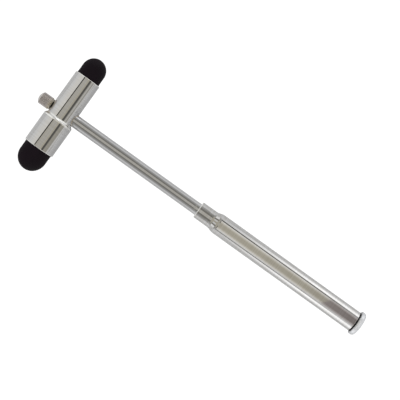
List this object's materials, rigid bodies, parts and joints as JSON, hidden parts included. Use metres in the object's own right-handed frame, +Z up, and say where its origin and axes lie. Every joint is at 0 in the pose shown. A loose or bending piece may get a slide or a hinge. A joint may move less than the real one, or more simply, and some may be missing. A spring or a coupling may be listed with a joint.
{
  "type": "reflex hammer",
  "caption": "Reflex hammer: a stepped chrome head between rubber tips on a slim shaft and hollow handle; a knurled knob holds a needle and a flanged end cap holds a brush.",
  "frame": {"origin": "bottom centre of the bounding box, on the table that the hammer lies on", "axes": "+X along the handle from the head to the end cap, +Y along the head from the large tip to the small tip, +Z up from the table"},
  "size_m": [0.19, 0.064, 0.0157],
  "materials": {
    "head_chrome": "bright plated",
    "shaft_chrome": "bright plated",
    "handle_chrome": "bright plated over fine turning marks",
    "cap_chrome": "bright plated",
    "knob_chrome": "satin plated knurl",
    "ferrule_chrome": "bright plated",
    "brass": "turned",
    "stem_steel": "drawn",
    "needle_steel": "polished",
    "tip_rubber": "matte moulded",
    "seal_rubber": "matte",
    "bristle": "fine nylon"
  },
  "bodies": {
    "hammer": {"head_barrel": "head_chrome", "large_rubber_tip": "tip_rubber", "small_rubber_tip": "tip_rubber", "shaft": "shaft_chrome", "handle_tube": "handle_chrome", "handle_thread_bush": "brass"},
    "needle_seal": {"needle_washer": "seal_rubber"},
    "needle_rod": {"needle": "needle_steel"},
    "knob": {"needle_knob": "knob_chrome", "needle_stud": "brass"},
    "cap_seal": {"end_cap_washer": "seal_rubber"},
    "brush_rod": {"brush_stem": "stem_steel"},
    "cap": {"end_cap": "cap_chrome", "brush_ferrule": "ferrule_chrome", "brush_bristles": "bristle"}
  },
  "joints": [
    {"name": "needle_withdrawal", "type": "slide", "parent": "hammer", "child": "needle_seal", "axis": [-1, 0, 0], "range_m": [0, 0.052]},
    {"name": "needle_thread_advance", "type": "slide", "parent": "needle_seal", "child": "needle_rod", "axis": [-1, 0, 0], "range_m": [0, 0.00359]},
    {"name": "knob_turn", "type": "hinge", "parent": "needle_rod", "child": "knob", "pos_m": [-0.0908, 0.0009, 0.00785], "axis": [-1, 0, 0], "range_deg": [0, 2160]},
    {"name": "brush_withdrawal", "type": "slide", "parent": "hammer", "child": "cap_seal", "axis": [1, 0, 0], "range_m": [0, 0.06]},
    {"name": "cap_thread_advance", "type": "slide", "parent": "cap_seal", "child": "brush_rod", "axis": [1, 0, 0], "range_m": [0, 0.00499]},
    {"name": "cap_turn", "type": "hinge", "parent": "brush_rod", "child": "cap", "pos_m": [0.0932, 0.0009, 0.00785], "axis": [1, 0, 0], "range_deg": [0, 1800]}
  ],
  "couplings": [
    {"joint": "knob_turn", "follows": "needle_thread_advance", "rad_per_m": 10472},
    {"joint": "cap_turn", "follows": "cap_thread_advance", "rad_per_m": 6283.2}
  ]
}
